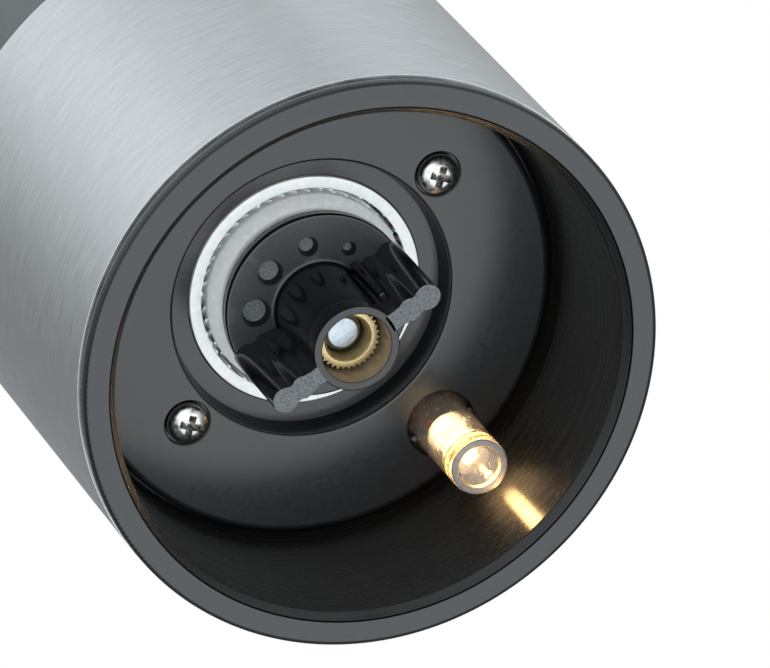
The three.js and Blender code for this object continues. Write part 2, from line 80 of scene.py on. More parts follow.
def polar(radius, degrees):
    """The point at a radius and an angle counted from +Y round +Z."""
    turn = math.radians(degrees)
    return -radius * math.sin(turn), radius * math.cos(turn)


# ---- Camera, light and floor ---------------------------------------------------------------

CAMERA_TILT = math.radians(28.8)      # between the view and the mill's axis
CAMERA_ROLL = math.radians(41.9)
CAMERA_TURN = math.radians(3.3)
CAMERA_DISTANCE = 0.990
CAMERA_LENS = 467.0
CAMERA_OFFSET = (0.00113, 0.00330)    # of the foot's centre from the middle of the view, left and down


def srgb(code):
    """Linear RGBA of an sRGB hex colour."""
    shares = [int(code[i:i + 2], 16) / 255 for i in (1, 3, 5)]
    linear = [c / 12.92 if c <= 0.04045 else ((c + 0.055) / 1.055) ** 2.4 for c in shares]
    return (*linear, 1.0)


def node(tree, kind, inputs=None, **settings):
    """Adds a node with its settings, and sets or links its inputs."""
    made = tree.nodes.new(kind)
    for name, value in settings.items():
        setattr(made, name, value)
    for name, value in (inputs or {}).items():
        if isinstance(value, bpy.types.NodeSocket):
            tree.links.new(value, made.inputs[name])
        else:
            made.inputs[name].default_value = value
    return made


def make_camera():
    """Looks up into the foot from below, rolled so that the mill leans away to the upper left."""
    forward = Vector((0, math.sin(CAMERA_TILT), math.cos(CAMERA_TILT)))
    lean = Vector((0, -math.cos(CAMERA_TILT), math.sin(CAMERA_TILT)))
    side = Vector((1, 0, 0))
    right = math.cos(CAMERA_ROLL) * side - math.sin(CAMERA_ROLL) * lean
    up = math.sin(CAMERA_ROLL) * side + math.cos(CAMERA_ROLL) * lean
    point = right * CAMERA_OFFSET[0] + up * CAMERA_OFFSET[1] - forward * CAMERA_DISTANCE
    axes = Matrix((right, up, -forward)).transposed()
    turn = Matrix.Rotation(CAMERA_TURN, 3, "Z")
    data = bpy.data.cameras.new("camera")
    data.lens = CAMERA_LENS
    data.clip_start = 0.05
    camera = bpy.data.objects.new("camera", data)
    camera.matrix_world = Matrix.Translation(turn @ point) @ (turn @ axes).to_4x4()
    bpy.context.scene.collection.objects.link(camera)
    bpy.context.scene.camera = camera


# The studio's soft panels: azimuth in degrees from -Y towards +X, half width, brightness.
STUDIO_PANELS = (
    (-6, 42, 0.78),      # main window
    (88, 40, 0.60),      # side window
    (-125, 28, 0.08),    # rear window
    (60, 3, -0.30),      # black flag
)
STUDIO_WALL = 0.22       # brightness of the plain walls between the panels
STUDIO_BELOW = 2.5       # and of a lit white panel straight below, which lights the mill's foot


def make_world():
    """A pale studio: soft panels round the mill, and a bright white panel straight below it."""
    world = bpy.data.worlds.new("studio")
    bpy.context.scene.world = world
    world.use_nodes = True
    tree = world.node_tree
    tree.nodes.clear()
    point = node(tree, "ShaderNodeTexCoord")
    axes = node(tree, "ShaderNodeSeparateXYZ", {0: point.outputs["Generated"]})
    level = node(tree, "ShaderNodeCombineXYZ", {0: axes.outputs[0], 1: axes.outputs[1]})
    heading = node(tree, "ShaderNodeVectorMath", {0: level.outputs[0]}, operation="NORMALIZE")
    total = node(tree, "ShaderNodeValue")
    total.outputs[0].default_value = STUDIO_WALL
    for azimuth, half_width, brightness in STUDIO_PANELS:
        turn = math.radians(azimuth)
        sharpness = math.log(0.5) / math.log(math.cos(math.radians(half_width)))
        facing = node(tree, "ShaderNodeVectorMath", {
            0: heading.outputs[0], 1: (math.sin(turn), -math.cos(turn), 0)}, operation="DOT_PRODUCT")
        front = node(tree, "ShaderNodeMath", {0: facing.outputs["Value"], 1: 0.0}, operation="MAXIMUM")
        soft = node(tree, "ShaderNodeMath", {0: front.outputs[0], 1: sharpness}, operation="POWER")
        total = node(tree, "ShaderNodeMath", {
            0: soft.outputs[0], 1: brightness, 2: total.outputs[0]}, operation="MULTIPLY_ADD")
    below = node(tree, "ShaderNodeMapRange", {
        "Value": axes.outputs[2], "From Min": -0.60, "From Max": -0.82}, interpolation_type="SMOOTHSTEP")
    strength = node(tree, "ShaderNodeMix", {
        0: below.outputs[0], 2: total.outputs[0], 3: STUDIO_BELOW}, data_type="FLOAT")
    studio = node(tree, "ShaderNodeBackground", {"Color": srgb("#f2f8fb"), "Strength": strength.outputs[0]})
    page = node(tree, "ShaderNodeBackground", {"Color": srgb("#ffffff")})
    path = node(tree, "ShaderNodeLightPath")
    mixed = node(tree, "ShaderNodeMixShader", {
        0: path.outputs["Is Camera Ray"], 1: studio.outputs[0], 2: page.outputs[0]})
    node(tree, "ShaderNodeOutputWorld", {"Surface": mixed.outputs[0]})


def make_lights():
    """One high, large softbox, so that the mill stands in soft light when it is seen from above."""
    size, distance, power = 0.9, 1.4, 5.0
    data = bpy.data.lights.new("high_softbox", "AREA")
    data.size = size
    data.energy = power
    direction = Vector((0.45, -0.35, 0.85)).normalized()
    lamp = bpy.data.objects.new("high_softbox", data)
    lamp.matrix_world = (Matrix.Translation(direction * distance)
                         @ direction.to_track_quat("Z", "Y").to_matrix().to_4x4())
    lamp.visible_camera = False
    lamp.visible_glossy = False
    bpy.context.scene.collection.objects.link(lamp)


def make_floor():
    """A pale table top under the mill. Its underside is clear, so that the foot can be seen from below."""
    mesh = bpy.data.meshes.new("floor")
    reach = 30.0
    corners = [(-reach, -reach, 0), (reach, -reach, 0), (reach, reach, 0), (-reach, reach, 0)]
    mesh.from_pydata(corners, [], [(0, 1, 2, 3)])
    floor = bpy.data.objects.new("floor", mesh)
    bpy.context.scene.collection.objects.link(floor)
    material = bpy.data.materials.new("matt_white_laminate")
    material.use_nodes = True
    tree = material.node_tree
    tree.nodes.clear()
    top = node(tree, "ShaderNodeBsdfDiffuse", {"Color": srgb("#f4f4f3")})
    glow = node(tree, "ShaderNodeEmission", {"Color": srgb("#f4f4f3"), "Strength": 0.45})
    lit = node(tree, "ShaderNodeAddShader", {0: top.outputs[0], 1: glow.outputs[0]})
    under = node(tree, "ShaderNodeBsdfTransparent")
    side = node(tree, "ShaderNodeNewGeometry")
    mixed = node(tree, "ShaderNodeMixShader", {
        0: side.outputs["Backfacing"], 1: lit.outputs[0], 2: under.outputs[0]})
    node(tree, "ShaderNodeOutputMaterial", {"Surface": mixed.outputs[0]})
    mesh.materials.append(material)
    floor.visible_diffuse = False
    floor.visible_glossy = False
    floor.visible_transmission = False
    floor.visible_shadow = False


# ---- Materials -----------------------------------------------------------------------------

def blank(name):
    """An empty node material, and its tree."""
    material = bpy.data.materials.new(name)
    material.use_nodes = True
    material.node_tree.nodes.clear()
    return material, material.node_tree


def grain(tree, cell, detail=2.0, rough=0.5):
    """Noise on Object coordinates, with cells of this size in millimetres along X, Y and Z."""
    point = node(tree, "ShaderNodeTexCoord")
    scale = tuple(1 / (side * MM) for side in cell)
    scaled = node(tree, "ShaderNodeMapping", {"Vector": point.outputs["Object"], "Scale": scale})
    noise = node(tree, "ShaderNodeTexNoise", {
        "Vector": scaled.outputs[0], "Scale": 1.0, "Detail": detail, "Roughness": rough})
    return noise.outputs[0]


def skin(name, cell, colors, roughness, depth, detail=2.0, **settings):
    """A finish whose colour, gloss and relief all vary with one grain of real size and depth."""
    material, tree = blank(name)
    speckle = grain(tree, cell, detail)
    spread = node(tree, "ShaderNodeMapRange", {"Value": speckle, "From Min": 0.3, "From Max": 0.7})
    tint = node(tree, "ShaderNodeMix", {
        0: spread.outputs[0], 6: srgb(colors[0]), 7: srgb(colors[1])}, data_type="RGBA")
    dull = node(tree, "ShaderNodeMapRange", {
        "Value": spread.outputs[0], "To Min": roughness[0], "To Max": roughness[1]})
    bump = node(tree, "ShaderNodeBump", {"Height": speckle, "Distance": depth * MM})
    inputs = {"Base Color": tint.outputs[2], "Roughness": dull.outputs[0], "Normal": bump.outputs[0]}
    if settings.get("Anisotropic"):
        tangent = node(tree, "ShaderNodeTangent", direction_type="UV_MAP", uv_map="turn")
        inputs["Tangent"] = tangent.outputs[0]
    shader = node(tree, "ShaderNodeBsdfPrincipled", {**inputs, **settings})
    node(tree, "ShaderNodeOutputMaterial", {"Surface": shader.outputs[0]})
    return material


def brushed_stainless():
    """Stainless steel, brushed round the sleeve with a fine belt: silky, with long soft highlights."""
    return skin("brushed_stainless", (3.2, 3.2, 0.15), ("#cdcfd0", "#e2e3e4"), (0.27, 0.34), 0.0008, 2.0,
                **{"Metallic": 1.0, "Anisotropic": 0.78, "Anisotropic Rotation": 0.25})


def polished_abs():
    """Black ABS from a polished mould: deep black with a clear gloss and a faint haze."""
    return skin("polished_abs", (0.9, 0.9, 0.9), ("#0b0c0e", "#101113"), (0.13, 0.20), 0.0012, IOR=1.53)


def etched_abs():
    """The disc's face: black ABS from a lightly etched mould, an even dark grey sheen."""
    return skin("etched_abs", (0.4, 0.4, 0.4), ("#222427", "#2a2c2f"), (0.32, 0.42), 0.002, IOR=1.54)


def dusted_bore():
    """The hub's bore, filmed with brass and pepper dust: dull tan."""
    return skin("dusted_bore", (0.9, 0.9, 1.4), ("#7d6c55", "#a08d72"), (0.35, 0.5), 0.004)


def moulded_abs():
    """Black ABS from a plain steel mould: satin gloss, slightly uneven."""
    return skin("moulded_abs", (0.5, 0.5, 0.5), ("#101113", "#151618"), (0.20, 0.27), 0.0012, IOR=1.54)


def turned_abs():
    """The bell's inner wall, from a mould turned on a lathe: faint rings stretch the gloss along it."""
    return skin("turned_abs", (30.0, 30.0, 0.28), ("#0e0e0e", "#1a1918"), (0.20, 0.33), 0.006, 3.0,
                **{"IOR": 1.54, "Anisotropic": 0.75, "Anisotropic Rotation": 0.25})


def eroded_abs_painted_sheen():
    """Black ABS with the coarse grain of a spark-eroded mould, which reads as grey in the light; that grey
    is painted sheen in its colour.
    """
    return skin("eroded_abs_painted_sheen", (0.22, 0.22, 0.22), ("#3a3d40", "#6d7174"), (0.55, 0.7), 0.03, 3.0)


def machined_abs():
    """The foot's black ABS face, faced off on a lathe: gloss with the cutter's short leaning marks."""
    material, tree = blank("machined_abs")
    point = node(tree, "ShaderNodeTexCoord")
    axes = node(tree, "ShaderNodeSeparateXYZ", {0: point.outputs["Object"]})
    flat = node(tree, "ShaderNodeCombineXYZ", {0: axes.outputs[0], 1: axes.outputs[1]})
    radius = node(tree, "ShaderNodeVectorMath", {0: flat.outputs[0]}, operation="LENGTH")
    turn = node(tree, "ShaderNodeMath", {0: axes.outputs[0], 1: axes.outputs[1]}, operation="ARCTAN2")
    # The marks are 0.55 mm apart round the face, and lean by about their own spacing across it.
    spacing, lean = 0.55 * MM, 40.0
    marks_per_radian = 2 * math.pi * 28.5 * MM / spacing
    swept = node(tree, "ShaderNodeMath", {
        0: radius.outputs["Value"], 1: lean, 2: turn.outputs[0]}, operation="MULTIPLY_ADD")
    phase = node(tree, "ShaderNodeMath", {0: swept.outputs[0], 1: marks_per_radian}, operation="MULTIPLY")
    marks = node(tree, "ShaderNodeMath", {0: phase.outputs[0]}, operation="SINE")
    # They show on the outer half of the face, and fade from the back of the mill to its lamp side.
    outer = node(tree, "ShaderNodeMapRange", {
        "Value": radius.outputs["Value"], "From Min": 27.9 * MM, "From Max": 28.4 * MM})
    side = node(tree, "ShaderNodeMapRange", {
        "Value": axes.outputs[1], "From Min": 8 * MM, "From Max": -14 * MM})
    where = node(tree, "ShaderNodeMath", {0: outer.outputs[0], 1: side.outputs[0]}, operation="MULTIPLY")
    cut = node(tree, "ShaderNodeMath", {0: marks.outputs[0], 1: where.outputs[0]}, operation="MULTIPLY")
    bump = node(tree, "ShaderNodeBump", {"Height": cut.outputs[0], "Distance": 0.006 * MM})
    haze = grain(tree, (0.8, 0.8, 0.8))
    dull = node(tree, "ShaderNodeMapRange", {"Value": haze, "To Min": 0.18, "To Max": 0.26})
    shader = node(tree, "ShaderNodeBsdfPrincipled", {
        "Base Color": srgb("#101214"), "Roughness": dull.outputs[0], "IOR": 1.55,
        "Normal": bump.outputs[0]})
    node(tree, "ShaderNodeOutputMaterial", {"Surface": shader.outputs[0]})
    return material


def fired_ceramic():
    """Alumina ceramic, fired and unglazed: white and satin, a little translucent, softly mottled."""
    return skin("fired_ceramic", (0.7, 0.7, 0.7), ("#eceeec", "#fafaf8"), (0.28, 0.38), 0.003,
                **{"IOR": 1.6, "Subsurface Weight": 0.15, "Subsurface Scale": 0.8 * MM})


def nickel_plate():
    """Nickel-plated steel: bright, a little warm, with the plating's fine orange peel."""
    return skin("nickel_plate", (0.45, 0.45, 0.45), ("#a3a29d", "#cbcac7"), (0.16, 0.36), 0.012, 3.0,
                Metallic=1.0)


def ground_steel():
    """Ground steel: bright and bluish, with straight grinding lines across it."""
    return skin("ground_steel", (1.2, 0.14, 1.2), ("#868f98", "#b3bac0"), (0.24, 0.38), 0.004, Metallic=1.0)


def turned_brass():
    """Free-cutting brass, turned and a little dull: pale yellow, with fine tool rings."""
    return skin("turned_brass", (0.6, 0.6, 0.12), ("#a8946a", "#cbb98c"), (0.38, 0.5), 0.006, 3.0,
                Metallic=1.0)


def rolled_copper():
    """Rolled copper contact strip, slightly tarnished."""
    return skin("rolled_copper", (2.5, 2.5, 2.5), ("#b87850", "#e0a780"), (0.25, 0.36), 0.002, 3.0,
                Metallic=1.0)


def frosted_pmma():
    """The lamp cap's end ring: acrylic with a fine frosted face."""
    return skin("frosted_pmma", (0.3, 0.3, 0.3), ("#5d5a5c", "#777374"), (0.35, 0.5), 0.008, **{
        "IOR": 1.49, "Transmission Weight": 0.12})


def clear_pmma():
    """Clear moulded acrylic, crazed and bubbly near its base, which scatters the lamp's glow."""
    return skin("clear_pmma", (0.5, 0.5, 0.8), ("#d8c2a6", "#f8efe0"), (0.06, 0.28), 0.02, 4.0, **{
        "IOR": 1.49, "Transmission Weight": 0.88})


def smoked_acrylic_painted_reflection():
    """The chamber's acrylic, clear with a light smoke tint; its soft lighter and darker columns are painted
    reflection, and the same noise varies its gloss like smears from handling.
    """
    return skin("smoked_acrylic_painted_reflection", (11.0, 11.0, 25.0), ("#8f979a", "#b4babc"), (0.05, 0.18), 0.004, 3.0, **{
        "IOR": 1.49, "Transmission Weight": 0.85})


def lit_diode():
    """The lit diode: epoxy that glows warm white, hotter at its core."""
    material, tree = blank("lit_diode")
    core = node(tree, "ShaderNodeMix", {
        0: grain(tree, (1.1, 1.1, 1.1)), 6: srgb("#ffdb96"), 7: srgb("#fff6e2")}, data_type="RGBA")
    shader = node(tree, "ShaderNodeBsdfPrincipled", {
        "Base Color": srgb("#fff1cf"), "Roughness": 0.3, "Emission Color": core.outputs[2],
        "Emission Strength": 4.2})
    node(tree, "ShaderNodeOutputMaterial", {"Surface": shader.outputs[0]})
    return material


def natural_acetal():
    """Natural acetal gears: milky white and waxy."""
    return skin("natural_acetal", (1.4, 1.4, 1.4), ("#e2ddd0", "#f3f0e8"), (0.36, 0.46), 0.004, IOR=1.48)


def silicone_rubber():
    """Black silicone: matt, with a dusty bloom."""
    return skin("silicone_rubber", (1.1, 1.1, 1.1), ("#141415", "#29292b"), (0.62, 0.78), 0.01, 3.0)


def pvc_insulation():
    """Red PVC wire insulation with a soft gloss."""
    return skin("pvc_insulation", (0.8, 0.8, 3.0), ("#9a1c14", "#c42e22"), (0.32, 0.44), 0.004)


def solder_mask():
    """Green solder mask over glass fibre, with lighter copper tracks 3 mm apart under it."""
    material, tree = blank("solder_mask")
    point = node(tree, "ShaderNodeTexCoord")
    scale = (1 / (3 * MM),) * 3
    scaled = node(tree, "ShaderNodeMapping", {"Vector": point.outputs["Object"], "Scale": scale})
    tracks = node(tree, "ShaderNodeTexBrick", {
        "Vector": scaled.outputs[0], "Color1": srgb("#1b5233"), "Color2": srgb("#225f3c"),
        "Mortar": srgb("#3f8a58"), "Scale": 1.0, "Mortar Size": 0.06})
    shader = node(tree, "ShaderNodeBsdfPrincipled", {"Base Color": tracks.outputs[0], "Roughness": 0.35})
    node(tree, "ShaderNodeOutputMaterial", {"Surface": shader.outputs[0]})
    return material


def cell_wrap():
    """A cell's plain shrink wrap: dark and glossy, with a copper-coloured band at its top."""
    material, tree = blank("cell_wrap")
    point = node(tree, "ShaderNodeTexCoord")
    axes = node(tree, "ShaderNodeSeparateXYZ", {0: point.outputs["Object"]})
    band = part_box("battery_1")[1].z - 10 * MM
    end = node(tree, "ShaderNodeMapRange", {
        "Value": axes.outputs[2], "From Min": band, "From Max": band + 0.2 * MM})
    tint = node(tree, "ShaderNodeMix", {
        0: end.outputs[0], 6: srgb("#33383f"), 7: srgb("#b98a55")}, data_type="RGBA")
    wrinkles = node(tree, "ShaderNodeBump", {"Height": grain(tree, (2, 2, 2)), "Distance": 0.01 * MM})
    shader = node(tree, "ShaderNodeBsdfPrincipled", {
        "Base Color": tint.outputs[2], "Roughness": 0.28, "Metallic": 0.35, "Normal": wrinkles.outputs[0]})
    node(tree, "ShaderNodeOutputMaterial", {"Surface": shader.outputs[0]})
    return material


# ---- Mesh helpers --------------------------------------------------------------------------

def rounded(outline, fillet, steps=3):
    """The closed outline with rounded corners. A corner is (radius, z) or (radius, z, its own fillet)."""
    points = []
    count = len(outline)
    for i, corner in enumerate(outline):
        here = Vector(corner[:2])
        size = corner[2] if len(corner) > 2 else fillet
        back = Vector(outline[i - 1][:2]) - here
        ahead = Vector(outline[(i + 1) % count][:2]) - here
        size = min(size, back.length * 0.45, ahead.length * 0.45)
        if here.x < 1e-6 or size < 1e-4:
            points.append(here)
            continue
        start, end = here + back.normalized() * size, here + ahead.normalized() * size
        for k in range(steps + 1):
            t = k / steps
            points.append((1 - t) ** 2 * start + 2 * t * (1 - t) * here + t * t * end)
    return points


def finished(name, bm, material, *more):
    """A mesh object from a bmesh: faces out, smooth, with crisp flats."""
    bmesh.ops.remove_doubles(bm, verts=bm.verts, dist=1e-7)
    bmesh.ops.recalc_face_normals(bm, faces=bm.faces)
    if bm.calc_volume(signed=True) < 0:
        bmesh.ops.reverse_faces(bm, faces=bm.faces)
    mesh = bpy.data.meshes.new(name)
    bm.to_mesh(mesh)
    bm.free()
    for one in (material, *more):
        mesh.materials.append(one)
    piece = bpy.data.objects.new(name, mesh)
    bpy.context.scene.collection.objects.link(piece)
    smooth(piece)
    return piece


def smooth(piece, angle=40):
    """Smooth shading, with edges steeper than the angle in degrees kept crisp."""
    piece.data.polygons.foreach_set("use_smooth", [True] * len(piece.data.polygons))
    piece.data.set_sharp_from_angle(angle=math.radians(angle))
    if not any(m.type == "WEIGHTED_NORMAL" for m in piece.modifiers):
        even = piece.modifiers.new("even_shading", "WEIGHTED_NORMAL")
        even.keep_sharp = True


def revolved(outline, segments, x=0.0, y=0.0):
    """A bmesh of the closed outline turned round the Z axis through x, y, with UVs that run round it."""
    bm = bmesh.new()
    layer = bm.loops.layers.uv.new("turn")
    rings = []
    for point in outline:
        if point[0] < 1e-6:
            rings.append([bm.verts.new((x * MM, y * MM, point[1] * MM))] * segments)
            continue
        ring = []
        for j in range(segments):
            turn = 2 * math.pi * j / segments
            ring.append(bm.verts.new((
                (x + point[0] * math.cos(turn)) * MM, (y + point[0] * math.sin(turn)) * MM, point[1] * MM)))
        rings.append(ring)
    travelled = [0.0]
    for i in range(len(outline)):
        step = Vector(outline[(i + 1) % len(outline)][:2]) - Vector(outline[i][:2])
        travelled.append(travelled[-1] + step.length)
    widest = max(p[0] for p in outline) * 2 * math.pi
    for i, ring in enumerate(rings):
        above = rings[(i + 1) % len(rings)]
        if ring[0] is ring[1] and above[0] is above[1]:
            continue
        for j in range(segments):
            k = (j + 1) % segments
            corners = [(ring[j], j, 0), (ring[k], j + 1, 0), (above[k], j + 1, 1), (above[j], j, 1)]
            kept = [c for n, c in enumerate(corners) if c[0] not in [d[0] for d in corners[:n]]]
            face = bm.faces.new([c[0] for c in kept])
            for loop, (_, turn, rise) in zip(face.loops, kept):
                loop[layer].uv = (turn / segments, travelled[i + rise] / widest)
    return bm


def lathe(name, outline, material, segments=MEDIUM, fillet=0.15, x=0.0, y=0.0):
    """A turned piece from its closed half outline."""
    return finished(name, revolved(rounded(outline, fillet), segments, x, y), material)


def tube(name, inner, outer, low, high, material, segments=MEDIUM, fillet=0.15, x=0.0, y=0.0):
    outline = [(inner, low), (outer, low), (outer, high), (inner, high)]
    return lathe(name, outline, material, segments, fillet, x, y)


def rod(name, radius, low, high, material, segments=SMALL, fillet=0.15, x=0.0, y=0.0):
    outline = [(0, low), (radius, low), (radius, high), (0, high)]
    return lathe(name, outline, material, segments, fillet, x, y)


def block(name, size, centre, material, bevel=0.2, turn=0.0):
    """A box with rounded edges, turned round Z about the mill's axis."""
    bm = bmesh.new()
    bmesh.ops.create_cube(bm, size=1.0)
    bm.transform(Matrix.Diagonal((*[s * MM for s in size], 1)))
    bmesh.ops.bevel(bm, geom=bm.edges[:], offset=bevel * MM, segments=2, affect="EDGES", profile=0.5)
    bm.transform(Matrix.Rotation(math.radians(turn), 4, "Z") @ Matrix.Translation(Vector(centre) * MM))
    return finished(name, bm, material)


def prism(name, corners, low, high, material, bevel=0.1):
    """An upright prism over a flat outline, with rounded rims."""
    bm = bmesh.new()
    face = bm.faces.new([bm.verts.new((cx * MM, cy * MM, low * MM)) for cx, cy in corners])
    risen = bmesh.ops.extrude_face_region(bm, geom=[face])["geom"]
    tops = [g for g in risen if isinstance(g, bmesh.types.BMVert)]
    bmesh.ops.translate(bm, verts=tops, vec=(0, 0, (high - low) * MM))
    rims = [e for e in bm.edges if abs(e.verts[0].co.z - e.verts[1].co.z) < 1e-9]
    if bevel:
        bmesh.ops.bevel(bm, geom=rims, offset=bevel * MM, segments=2, affect="EDGES", profile=0.5)
    return finished(name, bm, material)


def drop_shading(piece):
    """Removes the shading modifier that finished() gave the piece."""
    for modifier in [m for m in piece.modifiers if m.type == "WEIGHTED_NORMAL"]:
        piece.modifiers.remove(modifier)


def settled(piece):
    """The piece with its modifiers applied."""
    bpy.context.view_layer.update()
    graph = bpy.context.evaluated_depsgraph_get()
    drop_shading(piece)
    bpy.context.view_layer.update()
    mesh = bpy.data.meshes.new_from_object(piece.evaluated_get(graph), depsgraph=graph)
    piece.modifiers.clear()
    piece.data = mesh
    smooth(piece)
    return piece


def combine(piece, others, operation="DIFFERENCE"):
    """Cuts the others out of the piece, or joins them to it, and removes them."""
    drop_shading(piece)
    for other in others:
        other.modifiers.clear()
        change = piece.modifiers.new("combine", "BOOLEAN")
        change.operation = operation
        change.solver = "EXACT"
        change.object = other
        settled(piece)
        drop_shading(piece)
        bpy.data.objects.remove(other)
    smooth(piece)
    return piece


def copies_tree():
    """Geometry Nodes that copy a mesh round the Z axis, with a random share in their size."""
    tree = bpy.data.node_groups.new("copies_round_axis", "GeometryNodeTree")
    face = tree.interface
    face.new_socket("Geometry", in_out="INPUT", socket_type="NodeSocketGeometry")
    for name, kind in (("Count", "Int"), ("Start Angle", "Float"), ("Unevenness", "Float"),
                       ("Seed", "Int"), ("Finish", "Material")):
        face.new_socket(name, in_out="INPUT", socket_type=f"NodeSocket{kind}")
    face.new_socket("Geometry", in_out="OUTPUT", socket_type="NodeSocketGeometry")
    given = node(tree, "NodeGroupInput")
    points = node(tree, "GeometryNodePoints", {"Count": given.outputs["Count"]})
    index = node(tree, "GeometryNodeInputIndex")
    step = node(tree, "ShaderNodeMath", {0: 2 * math.pi, 1: given.outputs["Count"]}, operation="DIVIDE")
    turn = node(tree, "ShaderNodeMath", {
        0: index.outputs[0], 1: step.outputs[0], 2: given.outputs["Start Angle"]}, operation="MULTIPLY_ADD")
    about = node(tree, "ShaderNodeCombineXYZ", {2: turn.outputs[0]})
    least = node(tree, "ShaderNodeMath", {0: 1.0, 1: given.outputs["Unevenness"]}, operation="SUBTRACT")
    most = node(tree, "ShaderNodeMath", {0: 1.0, 1: given.outputs["Unevenness"]}, operation="ADD")
    size = node(tree, "FunctionNodeRandomValue", {
        "Min": least.outputs[0], "Max": most.outputs[0], "Seed": given.outputs["Seed"]}, data_type="FLOAT")
    for socket in size.inputs:
        if socket.enabled and socket.name in ("Min", "Max"):
            source = least if socket.name == "Min" else most
            tree.links.new(source.outputs[0], socket)
    reach = node(tree, "ShaderNodeCombineXYZ", {0: size.outputs[1], 1: size.outputs[1], 2: 1.0})
    copied = node(tree, "GeometryNodeInstanceOnPoints", {
        "Points": points.outputs[0], "Instance": given.outputs["Geometry"],
        "Rotation": about.outputs[0], "Scale": reach.outputs[0]})
    real = node(tree, "GeometryNodeRealizeInstances", {0: copied.outputs[0]})
    painted = node(tree, "GeometryNodeSetMaterial", {
        "Geometry": real.outputs[0], "Material": given.outputs["Finish"]})
    node(tree, "NodeGroupOutput", {0: painted.outputs[0]})
    return tree


COPIES = copies_tree()


def copied_round(piece, count, material, start=0.0, unevenness=0.0, seed=1):
    """The piece repeated round the mill's axis as one plain mesh."""
    piece.modifiers.clear()
    modifier = piece.modifiers.new("copies", "NODES")
    modifier.node_group = COPIES
    values = {"Count": count, "Start Angle": math.radians(start), "Unevenness": unevenness,
              "Seed": seed, "Finish": material}
    for socket in COPIES.interface.items_tree:
        if socket.in_out == "INPUT" and socket.name in values:
            modifier[socket.identifier] = values[socket.name]
    return settled(piece)


def place(piece, body, slot, *nodes):
    """Hands the finished piece to the frame."""
    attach(piece, body)
    if nodes:
        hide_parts(*nodes)
    return piece


def place_tube(node_name, name, inner, body, slot, *settings, **offset):
    """Hands over a tube as wide and high as its CAD node, with a bore and tube()'s last settings."""
    outer, low, high = span(node_name)
    place(tube(name, inner, outer, low, high, *settings, **offset), body, slot, node_name)


def place_rod(node_name, name, radius, body, slot, *settings):
    """Hands over a rod as high as its CAD node, with a radius and rod()'s last settings."""
    _, low, high = span(node_name)
    place(rod(name, radius, low, high, *settings), body, slot, node_name)


# ---- Finishes ------------------------------------------------------------------------------

STEEL = brushed_stainless()
GLOSS = polished_abs()
FACED = machined_abs()
MOULDED = moulded_abs()
TURNED = turned_abs()
ETCHED = etched_abs()
BORE = dusted_bore()
# Black ABS painted mid grey: painted sheen of its coarse grain.
ROUGH_PAINTED_SHEEN = eroded_abs_painted_sheen()
CERAMIC = fired_ceramic()
NICKEL = nickel_plate()
GROUND = ground_steel()
BRASS = turned_brass()
COPPER = rolled_copper()
CLEAR = clear_pmma()
FROST = frosted_pmma()
SMOKED_PAINTED_REFLECTION = smoked_acrylic_painted_reflection()
GLOW = lit_diode()
ACETAL = natural_acetal()
SILICONE = silicone_rubber()
RED_PVC = pvc_insulation()
BOARD = solder_mask()
WRAP = cell_wrap()


# ---- Foot ----------------------------------------------------------------------------------

def build_foot():
    outer, low, high = span("foot_ring")
    mouth, rim, skirt = outer - 2.55, 2.0, outer - 1.05
    place(lathe("foot_ring_moulding", [
        (mouth, low, 0.1), (outer, low, 0.55), (outer, rim - 0.75, 0.12), (outer - 0.22, rim - 0.6, 0.08),
        (outer - 0.22, rim, 0.1), (skirt, rim), (skirt, high), (skirt - 0.4, high),
        (skirt - 0.4, 1.5), (mouth, 1.5),
    ], FACED, FINE), "grinder_base", "black_gloss", "foot_ring")

    outer, low, high = span("grinder_bell")
    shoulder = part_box("grinder_plate")[1].z / MM - 6.2
    place(lathe("grinder_bell_moulding", [
        (26.55, 0.95, 0.12), (mouth - 0.12, low, 0.06), (mouth - 0.12, 1.8), (outer, 1.8), (outer, high),
        (24.8, high), (24.8, shoulder), (26.05, shoulder, 0.5), (26.1, 19.0, 0.0),
    ], TURNED, FINE), "grinder_base", "black_moulded", "grinder_bell")
    build_plate()


def build_plate():
    outer, low, high = span("grinder_plate")
    top, recess, seat = low + 2.0, 14.8, 12.3
    plate = lathe("grinder_plate_moulding", [
        (recess, low, 0.35), (outer, low, 0.8), (outer, top), (15.1, top), (15.1, high), (seat, high),
        (seat, 21.85, 0.1), (14.3, 21.85, 0.0),
    ], MOULDED, FINE)
    flare = 0.25
    cutters = []
    for x in (-SCREW_X, SCREW_X):
        cutters.append(lathe("counterbore", [
            (0, low - 1), (2.42 + flare + 1, low - 1), (2.38, low + 0.12, 0), (2.38, low + 0.5, 0),
            (1.6, low + 0.5, 0), (1.6, top + 1, 0), (0, top + 1)], MOULDED, SMALL, 0, x=x))
    cutters.append(lathe("lamp_hole", [
        (0, low - 1), (3.4 + flare + 1, low - 1), (3.4, low + 0.25, 0), (3.4, top + 1, 0), (0, top + 1),
    ], MOULDED, SMALL, 0, y=LAMP_Y))
    combine(plate, cutters)
    place(plate, "grinder_base", "black_moulded", "grinder_plate")


